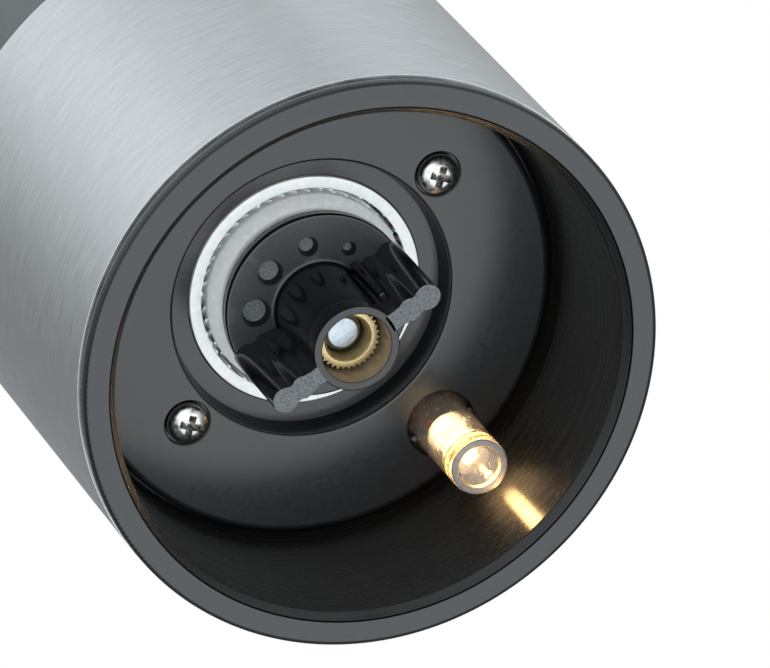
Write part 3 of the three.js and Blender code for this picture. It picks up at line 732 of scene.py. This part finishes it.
def build_screws():
    """Pan heads with a cross recess. One screw is made on the axis and copied to both sides."""
    radius, low, high = span("plate_screw_1")
    head_top = 19.25
    screw = lathe("plate_screws", [
        (0, low), (1.1, low + 0.02, 0.3), (1.95, low + 0.42, 0.5), (radius, low + 1.0, 0.15),
        (radius, head_top, 0.05), (1.25, head_top, 0.1), (1.25, high - 0.8), (0, high),
    ], NICKEL, SMALL, 0.1)
    cutters = []
    for turn in (SLOT_TURN, SLOT_TURN + 90):
        cutter = bmesh.new()
        bmesh.ops.create_cone(cutter, cap_ends=True, segments=4, radius1=1.95 * MM, radius2=0.45 * MM,
                              depth=1.5 * MM, matrix=Matrix.Rotation(math.radians(45), 4, "Z"))
        shape = Matrix.Translation((0, 0, (low + 0.45) * MM))
        shape = shape @ Matrix.Rotation(math.radians(turn), 4, "Z") @ Matrix.Diagonal((1, 0.34, 1, 1))
        cutter.transform(shape)
        cutters.append(finished("cross_slot", cutter, NICKEL))
    combine(screw, cutters)
    for side, node_name in ((-1, "plate_screw_1"), (1, "plate_screw_2")):
        copy = bpy.data.objects.new(f"pan_head_screw_{'left' if side < 0 else 'right'}", screw.data.copy())
        bpy.context.scene.collection.objects.link(copy)
        copy.data.transform(Matrix.Translation((side * SCREW_X * MM, 0, 0)))
        smooth(copy)
        place(copy, "grinder_base", "nickel", node_name)
    bpy.data.objects.remove(screw)


def build_sleeves():
    for node_name, body, fillet in (("lower_sleeve", "grinder_base", 0.05),
                                    ("upper_sleeve", "top_cover", 0.12)):
        inner = span(node_name)[0] - SLEEVE_WALL
        place_tube(node_name, f"{node_name}_shell", inner, body, "brushed_steel", STEEL, FINE, fillet)


# ---- Grinder -------------------------------------------------------------------------------

def tooth(name, radius, width, depth, low, high, lean, material):
    """A wedge-shaped grinding tooth at a radius, leaning round the axis as it rises."""
    bm = bmesh.new()
    corners = []
    for z, turn in ((low, 0.0), (high, lean)):
        for across, out in ((-width, 0.0), (width, 0.0), (0.0, depth)):
            angle = math.radians(turn) + across / abs(radius)
            reach = (radius + out) * MM
            corners.append(bm.verts.new((reach * math.cos(angle), reach * math.sin(angle), z * MM)))
    for face in ((0, 2, 1), (3, 4, 5), (0, 1, 4, 3), (1, 2, 5, 4), (2, 0, 3, 5)):
        bm.faces.new([corners[i] for i in face])
    return finished(name, bm, material)


def build_ceramics():
    outer, low, high = span("ceramic_stator")
    seat = 12.2
    stator = lathe("stator_ring", [
        (10.98, low, 0.12), (seat, low, 0.12), (seat, 27.9), (outer, 27.9), (outer, high), (12.7, high),
        (11.15, low + 1.2, 0.0),
    ], CERAMIC, FINE)
    place(stator, "grinder_base", "white_ceramic", "ceramic_stator")
    chip = tooth("stator_teeth", 11.08, 0.30, -0.20, low + 0.10, low + 7.0, 12, CERAMIC)
    teeth = copied_round(chip, 61, CERAMIC, 2, 0.016, 5)
    place(teeth, "grinder_base", "white_ceramic")

    outer, low, high = span("ceramic_rotor")
    rotor = lathe("rotor_cone", [
        (2.9, low), (8.4, low, 0.2), (9.9, low + 0.35, 0.7), (10.55, low + 1.55, 0.5), (10.3, 23.5, 0.5),
        (6.3, high, 0.3), (2.9, high),
    ], CERAMIC, FINE, 0.2)
    place(rotor, "rotor", "white_ceramic", "ceramic_rotor")
    ridge = tooth("rotor_teeth", 10.15, 0.34, 0.5, low + 2.4, low + 4.4, -9, CERAMIC)
    place(copied_round(ridge, 48, CERAMIC, 0, 0.008, 9), "rotor", "white_ceramic")

    place_tube("rotor_driver", "rotor_driver_bush", 2.25, "rotor", "black_moulded", MOULDED, SMALL)
    place_tube("thrust_washer", "thrust_washer_ring", 2.25, "rotor", "nickel", NICKEL, SMALL, 0.08)


def wing_outline():
    """A wing seen from its end: a neck from the hub, a small lobe and a round outer lobe, along +X."""
    near, far = (6.6, 1.28), (8.75, 1.38)      # distance from the axis and radius of each lobe
    waist = ((5.3, 0.98), (7.75, 1.02))
    upper = [(3.95, 1.05), waist[0]]
    for turn in (125, 100, 75, 50):
        a = math.radians(turn)
        upper.append((near[0] + near[1] * math.cos(a), near[1] * math.sin(a)))
    upper.append(waist[1])
    for turn in (118, 95, 72, 48, 24, 0):
        a = math.radians(turn)
        upper.append((far[0] + far[1] * math.cos(a), far[1] * math.sin(a)))
    lower = [(x, -y) for x, y in reversed(upper[:-1])]
    return upper + lower


def build_adjuster():
    low = span("adjuster_knob")[1]
    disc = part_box("thrust_washer")[0].z / MM - 0.3
    face = disc - 1.3
    hub, bore = 4.5, 3.65
    rib_top = face - 2.6
    knob = lathe("adjuster_moulding", [
        (bore, low, 0.12), (hub, low, 0.14), (hub + 0.12, face, 0.45), (9.8, face, 0.28), (9.8, disc, 0.1),
        (2.3, disc), (2.3, 15.5), (bore, 15.5),
    ], GLOSS, FINE, 0.1)
    wings = []
    for angle in WING_ANGLES:
        wing = prism("wing", wing_outline(), low, face + 0.5, GLOSS, 0.10)
        turn = Matrix.Rotation(math.radians(angle + 90), 4, "Z")
        wing.data.transform(turn)
        wings.append(wing)
        rib = lathe("rib", [
            (0, rib_top - 6), (0.45, rib_top - 6, 0.2), (0.62, rib_top, 0.1),
            (0.62, face + 0.4), (0, face + 0.4),
        ], GLOSS, 24, 0.1)
        rib.data.transform(turn @ Matrix.Translation((5.3 * MM, -1.15 * MM, 0)))
        wings.append(rib)
    combine(knob, wings, "UNION")
    dimples = []
    for angle, radius in GRIND_MARKS:
        x, y = polar(6.6, angle)
        dimples.append(lathe("dimple", [
            (0, face - 1), (radius + 0.3, face - 1), (radius, face + 0.06, 0),
            (radius - 0.22, face + 0.85, 0.2), (0, face + 0.85)], GLOSS, SMALL, 0, x=x, y=y))
    combine(knob, dimples)
    first = len(knob.data.materials)
    # Wing ends and the grind marks' floors take the spark-eroded finish, whose grey colour is painted sheen.
    for finish in (ROUGH_PAINTED_SHEEN, ETCHED, BORE):
        knob.data.materials.append(finish)
    for polygon in knob.data.polygons:
        middle = polygon.center / MM
        reach = math.hypot(middle.x, middle.y)
        facing_down = polygon.normal.z < -0.8
        wing_end = abs(middle.z - low) < 0.02 and reach > hub + 0.35
        mark_floor = face + 0.6 < middle.z < disc - 0.2 and facing_down
        if wing_end or mark_floor:
            polygon.material_index = first
        elif facing_down and abs(middle.z - face) < 0.1:
            polygon.material_index = first + 1
        elif reach < bore + 0.02 and low + 0.2 < middle.z < 15:
            polygon.material_index = first + 2
    place(knob, "adjuster", "black_gloss", "adjuster_knob")
    build_insert()


def build_insert():
    """The brass insert: a turned ring, with straight knurling copied round it."""
    outer, low, high = span("brass_insert")
    ring = lathe("brass_insert_core", [
        (2.2, low + 0.35, 0.1), (2.5, low, 0.05), (outer - 0.26, low, 0.06),
        (outer - 0.26, high), (2.2, high),
    ], BRASS, MEDIUM, 0.05)
    place(ring, "adjuster", "brass", "brass_insert")
    ridge = tooth("insert_knurling", outer - 0.34, 0.24, 0.32, low + 0.05, high, 0, BRASS)
    place(copied_round(ridge, 34, BRASS, 3, 0.014, 1), "adjuster", "brass")


def build_shaft():
    _, low, high = span("drive_shaft")
    round_r, half, joint = 2.0, 2.1, 31.5
    stem = lathe("shaft_stem", [
        (0, low), (1.55, low, 0.06), (round_r, low + 0.4, 0.06), (round_r, joint + 1), (0, joint + 1),
    ], GROUND, SMALL, 0.05)
    square = block("shaft_square", (2 * half, 2 * half, high - joint), (0, 0, (high + joint) / 2),
                   GROUND, 0.25)
    combine(stem, [square], "UNION")
    place(stem, "shaft", "bright_steel", "drive_shaft")
    place_tube("spring_collar", "spring_collar_ring", 3.1, "shaft", "nickel", NICKEL, SMALL)
    place(coil("rotor_spring_wire", "rotor_spring", 0.4, 3.5), "shaft", "bright_steel", "rotor_spring")

    _, low, high = span("shaft_bridge")
    bridge = tube("shaft_bridge_moulding", 3.6, 6.0, high - 5, high, MOULDED, SMALL, 0.3)
    ring = tube("bridge_ring", 12.6, 14.2, low, low + 1.7, MOULDED, MEDIUM, 0.2)
    arm = block("bridge_arm", (9.4, 2.2, 4), (9.3, 0, high - 2), MOULDED, 0.4)
    leg = block("bridge_leg", (1.6, 2.6, high - low - 0.1), (13.4, 0, (high + low) / 2), MOULDED, 0.3)
    combine(arm, [leg], "UNION")
    arms = copied_round(arm, 3, MOULDED, 90)
    combine(bridge, [ring, arms], "UNION")
    place(bridge, "grinder_base", "black_moulded", "shaft_bridge")


def coil(name, node_name, wire, turns, sides=10, steps=26):
    """A compression spring of round wire with closed, ground ends, in the room of its CAD node."""
    outer, low, high = span(node_name)
    centre = (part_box(node_name)[0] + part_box(node_name)[1]) / 2 / MM
    radius = outer - wire
    bottom, top = low + wire, high - wire
    bm = bmesh.new()
    rings = []
    count = int(turns * steps)
    for i in range(count + 1):
        share = i / count
        turn = 2 * math.pi * turns * share
        rise = min(max((share - 0.12) / 0.76, 0.0), 1.0)
        middle = Vector((radius * math.cos(turn), radius * math.sin(turn), bottom + (top - bottom) * rise))
        outward = Vector((math.cos(turn), math.sin(turn), 0))
        ring = []
        for k in range(sides):
            a = 2 * math.pi * k / sides
            point = middle + outward * wire * math.cos(a) + Vector((0, 0, wire * math.sin(a)))
            ring.append(bm.verts.new((point + Vector((centre.x, centre.y, 0))) * MM))
        rings.append(ring)
    for here, ahead in zip(rings, rings[1:]):
        for k in range(sides):
            bm.faces.new((here[k], here[(k + 1) % sides], ahead[(k + 1) % sides], ahead[k]))
    bm.faces.new(rings[0])
    bm.faces.new(reversed(rings[-1]))
    return finished(name, bm, GROUND)


# ---- Foot lamp -----------------------------------------------------------------------------

def build_lamp():
    _, low, high = span("light_cap")
    body, flange = 3.0, 21.4
    cap = lathe("lamp_cap", [
        (0, low + 0.5), (2.05, low + 0.5, 0.1), (2.35, low, 0.12), (body, low, 0.4),
        (body + 0.1, flange, 0.1), (3.6, flange), (3.6, high), (2.2, high),
        (2.2, low + 3.2, 0.4), (0, low + 2.2, 0.1),
    ], CLEAR, MEDIUM, 0.15, y=LAMP_Y)
    cap.data.materials.append(FROST)
    for polygon in cap.data.polygons:
        middle = polygon.center / MM
        reach = math.hypot(middle.x, middle.y - LAMP_Y)
        if middle.z < low + 0.12 and reach > 2.3:
            polygon.material_index = 1
    place(cap, "grinder_base", "clear_acrylic", "light_cap")
    for side in (-1, 1):
        lug = block(f"lamp_lug_{'left' if side < 0 else 'right'}", (0.7, 1.3, 1.0),
                    (0, 0, 0), MOULDED, 0.2)
        x, y = polar(3.15, side * 90 + 20)
        lug.data.transform(Matrix.Translation((x * MM, (y + LAMP_Y) * MM, 18.65 * MM)))
        place(lug, "grinder_base", "black_moulded")
    radius, low, high = span("led")
    diode = lathe("lamp_diode", [
        (0, low), (0.8, low + 0.25, 0.4), (1.45, low + 1.4, 0.5), (1.5, low + 4.4), (radius, low + 4.4),
        (radius, high), (0, high),
    ], GLOW, SMALL, 0.1, y=LAMP_Y)
    place(diode, "grinder_base", "warm_lamp", "led")
    place_tube("wire_duct", "wire_duct_tube", 2.4, "grinder_base", "black_moulded",
               MOULDED, SMALL, 0.15, y=LAMP_Y)
    for name, x, material, slot in (("led_lead_red", -0.95, RED_PVC, "red_wire"),
                                    ("led_lead_black", 0.95, SILICONE, "black_rubber")):
        radius, low, high = span(name)
        lead = lathe(f"{name}_wire", [
            (0, low), (0.6, low), (0.6, high - 1.4), (radius, high - 1.4), (radius, high - 0.6),
            (0.4, high, 0.2), (0, high)], material, 20, 0.08, x=x, y=LAMP_Y)
        place(lead, "grinder_base", slot, name)


def light_the_lamp():
    """The lamp's warm light on the bell's wall, from a row of small lights just outside the cap."""
    reach = 3.45
    count, first, step, power, radius = 4, 5.4, 1.9, 0.0006, 0.75
    for i in range(count):
        data = bpy.data.lights.new(f"lamp_glow_{i + 1}", "POINT")
        data.energy = power
        data.shadow_soft_size = radius * MM
        data.color = srgb("#ffcf86")[:3]
        lamp = bpy.data.objects.new(data.name, data)
        lamp.location = Vector((0, LAMP_Y + reach, first + i * step)) * MM
        lamp.visible_camera = False
        bpy.context.scene.collection.objects.link(lamp)


# ---- Chamber -------------------------------------------------------------------------------

def build_chamber():
    outer, _, high = span("spice_chamber")
    sleeve_r, neck_r, bore, floor_r = 28.8, 27.9, 26.6, 17.0
    floor_z, shoulder = 24.9, 88.0
    # The chamber's tint runs in soft lighter and darker columns of painted reflection.
    chamber = lathe("chamber_shell", [
        (floor_r, floor_z), (sleeve_r, floor_z), (sleeve_r, 50.6), (outer, 50.8, 0.15), (outer, shoulder),
        (neck_r, shoulder), (neck_r, high), (bore, high), (bore, 35.0, 1.5), (floor_r, 28.0, 0.4),
    ], SMOKED_PAINTED_REFLECTION, FINE, 0.2)
    place(chamber, "grinder_base", "chamber_acrylic", "spice_chamber")
    boss = lathe("screw_boss_pair", [
        (1.55, 21.4), (2.4, 21.4), (2.4, 33.5), (0, 33.5), (0, 32.2), (1.55, 32.2),
    ], SMOKED_PAINTED_REFLECTION, SMALL, 0.15, x=SCREW_X)
    place(copied_round(boss, 2, SMOKED_PAINTED_REFLECTION), "grinder_base", "chamber_acrylic")
    place_tube("sleeve_seal", "sleeve_seal_ring", 28.95, "grinder_base", "black_rubber", SILICONE, FINE, 0.1)
    place_tube("lock_ring", "lock_ring_moulding", 28.2, "twist_lock", "black_moulded", MOULDED, FINE, 0.25)


# ---- Drive unit ----------------------------------------------------------------------------

def gear_outline(teeth, inward=False):
    """Straight-flanked teeth with flat tips. An inward gear's teeth point at the axis."""
    pitch_r = GEAR_MODULE * teeth / 2
    side = -1 if inward else 1
    root, tip = pitch_r - side * TOOTH_DEPTH, pitch_r + side * TOOTH_RISE
    points = []
    for i in range(teeth):
        for reach, share in ((root, -0.60), ((root + tip) / 2, -0.42), (tip, -0.18), (tip, 0.18),
                             ((root + tip) / 2, 0.42), (root, 0.60)):
            turn = 2 * math.pi * (i + share / 2) / teeth
            points.append((reach * math.cos(turn), reach * math.sin(turn)))
    return points


def build_gears():
    low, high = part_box("sun_gear")[0].z / MM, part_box("sun_gear")[1].z / MM
    sun = prism("sun_gear_wheel", gear_outline(SUN_TEETH), low, high, BRASS, 0.06)
    combine(sun, [rod("bore", 1.1, low - 1, high + 1, BRASS, 24, 0)])
    place(sun, "motor_rotor", "brass", "sun_gear")
    place_rod("motor_shaft", "motor_shaft_pin", span("motor_shaft")[0], "motor_rotor", "bright_steel",
              GROUND, 24, 0.15)
    low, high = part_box("planet_gear_1")[0].z / MM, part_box("planet_gear_1")[1].z / MM
    orbit = GEAR_MODULE * (SUN_TEETH + PLANET_TEETH) / 2
    for i in range(3):
        wheel = prism(f"planet_wheel_{i + 1}", gear_outline(PLANET_TEETH), low, high, ACETAL, 0.06)
        combine(wheel, [rod("bore", 1.2, low - 1, high + 1, ACETAL, 24, 0)])
        x, y = polar(orbit, 120 * i)
        wheel.data.transform(Matrix.Translation((x * MM, y * MM, 0))
                             @ Matrix.Rotation(math.radians(-90 / PLANET_TEETH + 120 * i), 4, "Z"))
        place(wheel, f"planet_{i + 1}", "white_acetal", f"planet_gear_{i + 1}")
    radius, low, high = span("ring_gear")
    ring = rod("ring_gear_rim", radius, low, high, ACETAL, MEDIUM, 0.1)
    combine(ring, [prism("teeth_gap", gear_outline(RING_TEETH, True), low - 1, high + 1, ACETAL, 0)])
    place(ring, "drive_unit", "white_acetal", "ring_gear")

    low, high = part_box("output_carrier")[0].z / MM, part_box("output_carrier")[1].z / MM
    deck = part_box("planet_gear_1")[0].z / MM - 0.4
    carrier = lathe("output_carrier_hub", [
        (0, low), (5, low, 0.4), (5, deck - 1.4, 0.2), (9.2, deck - 1.4, 0.15), (9.2, deck, 0.15),
        (0, deck),
    ], ACETAL, MEDIUM, 0.1)
    socket = block("socket", (4.5, 4.5, deck - low + 2), (0, 0, (deck + low) / 2), ACETAL, 0.15)
    combine(carrier, [socket])
    pin = rod("carrier_pins", 0.95, deck - 0.5, high, ACETAL, 24, 0.12, y=orbit)
    combine(carrier, [copied_round(pin, 3, ACETAL)], "UNION")
    place(carrier, "output", "white_acetal", "output_carrier")


def build_drive():
    outer, low, high = span("drive_base")
    place(lathe("drive_base_moulding", [
        (28.2, low), (outer, low), (outer, high), (27.4, high), (27.4, 101.5, 0.6), (8, 101.5), (8, 98.9),
        (28.2, 98.9, 0.5)], MOULDED, FINE, 0.25), "drive_unit", "black_moulded", "drive_base")
    for name, inner in (("contact_track_inner", LAMP_Y - 1.6), ("contact_track_outer", LAMP_Y + 0.3)):
        place_tube(name, f"{name}_ring", inner, "drive_unit", "copper", COPPER, MEDIUM, 0.1)
    outer, low, high = span("gearbox_housing")
    place(lathe("gearbox_can", [
        (7.5, low), (outer, low), (outer, high), (12.9, high), (12.9, low + 1, 0.4), (7.5, low + 1)],
        MOULDED, MEDIUM, 0.4), "drive_unit", "black_moulded", "gearbox_housing")
    place_tube("gearbox_cover", "gearbox_lid", 3.4, "drive_unit", "black_moulded", MOULDED, MEDIUM, 0.3)
    outer, low, high = span("motor_can")
    place(lathe("motor_can_shell", [
        (1.4, low), (outer, low, 0.8), (outer, high, 0.3), (outer - 0.6, high), (outer - 0.6, low + 0.6),
        (1.4, low + 0.6)], NICKEL, MEDIUM, 0.2), "drive_unit", "nickel", "motor_can")
    outer, low, high = span("motor_end_cap")
    cap = rod("motor_cap_moulding", outer, low, high - 3.0, MOULDED, MEDIUM, 0.4)
    tab = block("terminal", (2.6, 0.8, 3.6), (6, 0, high - 1.8), COPPER, 0.1)
    place(cap, "drive_unit", "black_moulded", "motor_end_cap")
    place(copied_round(tab, 2, COPPER, 90), "drive_unit", "copper")


def build_cells():
    outer, low, high = span("battery_cage")
    motor_r = span("motor_can")[0]
    cage = tube("battery_cage_moulding", motor_r + 0.3, 13.6, low, high, MOULDED, MEDIUM, 0.3)
    plates = [
        tube("lower_plate", motor_r + 0.3, outer, low, low + 2.2, MOULDED, FINE, 0.4),
        tube("upper_plate", motor_r - 4, outer, high - 2.2, high, MOULDED, FINE, 0.4),
    ]
    rib = block("rib", (2.4, 3.2, high - low - 1), (25.9, 0, (low + high) / 2), MOULDED, 0.4)
    combine(cage, [*plates, copied_round(rib, 3, MOULDED, 60)], "UNION")
    place(cage, "drive_unit", "black_moulded", "battery_cage")

    radius, low, high = span("battery_1")
    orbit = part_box("battery_1")[1].y / MM - radius
    cell = lathe("cells", [
        (0, low), (radius - 0.5, low, 0.2), (radius, low + 0.4, 0.3), (radius, high - 1.1, 0.5),
        (radius - 1.0, high - 0.9, 0.2), (1.9, high - 0.9, 0.1), (1.9, high, 0.3), (0, high),
    ], WRAP, SMALL, 0.1, y=orbit)
    cells = copied_round(cell, 6, WRAP)
    cells.data.materials.append(NICKEL)
    for polygon in cells.data.polygons:
        height = polygon.center.z / MM
        if height > high - 0.95 or height < low + 0.15:
            polygon.material_index = 1
    place(cells, "drive_unit", "cell_wrap", *[f"battery_{i}" for i in range(1, 7)])
    for kind in ("spring_contact", "plain_contact"):
        for i in range(1, 4):
            for material_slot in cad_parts[f"{kind}_{i}"].material_slots:
                material_slot.material = NICKEL


# ---- Top -----------------------------------------------------------------------------------

def build_top():
    place_rod("switch_board", "switch_board_disc", span("switch_board")[0], "drive_unit", "board",
              BOARD, MEDIUM, 0.1)
    _, low, high = span("micro_switch")
    case = block("micro_switch_case", (7, 7, high - low), (0, 0, (low + high) / 2), MOULDED, 0.3)
    combine(case, [rod("plunger_bore", 2.0, low + 1.0, high + 1, MOULDED, SMALL, 0)])
    place(case, "drive_unit", "black_moulded", "micro_switch")
    place_rod("switch_plunger", "switch_plunger_pin", 1.7, "plunger", "white_acetal", ACETAL, SMALL, 0.4)

    outer, low, high = span("top_cap")
    skirt, opening, shelf, seam = 28.9, 16.3, 190.2, 193.3
    place(lathe("top_cap_moulding", [
        (skirt - 1.6, low), (skirt, low), (skirt, seam, 0.1), (outer, seam, 0.25), (outer, high, 3.6),
        (opening + 0.1, high, 0.5), (opening, shelf, 0.2), (11, shelf), (11, shelf - 1.8),
        (skirt - 1.6, shelf - 1.8, 0.3),
    ], GLOSS, FINE, 0.2), "top_cover", "black_gloss", "top_cap")
    outer, low, high = span("push_button")
    under = 194.6
    place(lathe("push_button_moulding", [
        (0, low), (2.4, low, 0.3), (2.4, under + 1, 0.3), (8.5, under + 1, 0.3), (8.5, 183.2), (10, 183.2),
        (10, under, 0.3), (outer, under), (outer, high, 0.2), (0, high)], MOULDED, MEDIUM, 0.2),
        "button", "black_moulded", "push_button")
    outer, low, high = span("button_face")
    place(lathe("button_face_cap", [
        (0, low), (outer, low), (outer, high - 0.3, 0.3), (outer - 0.9, high, 0.5), (6, high - 0.25, 2.0),
        (0, high - 0.35)], STEEL, FINE, 0.15), "button", "brushed_steel", "button_face")
    spring = coil("button_spring_wire", "button_spring", 0.45, 2.5)
    place(spring, "top_cover", "bright_steel", "button_spring")
    _, low, high = span("button_spring")
    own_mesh(spring)


# ---- Everything ----------------------------------------------------------------------------

bpy.context.scene.view_settings.view_transform = "Standard"
make_camera()
make_world()
make_lights()
make_floor()
build_foot()
build_screws()
build_sleeves()
build_ceramics()
build_adjuster()
build_shaft()
build_lamp()
light_the_lamp()
build_chamber()
build_drive()
build_gears()
build_cells()
build_top()
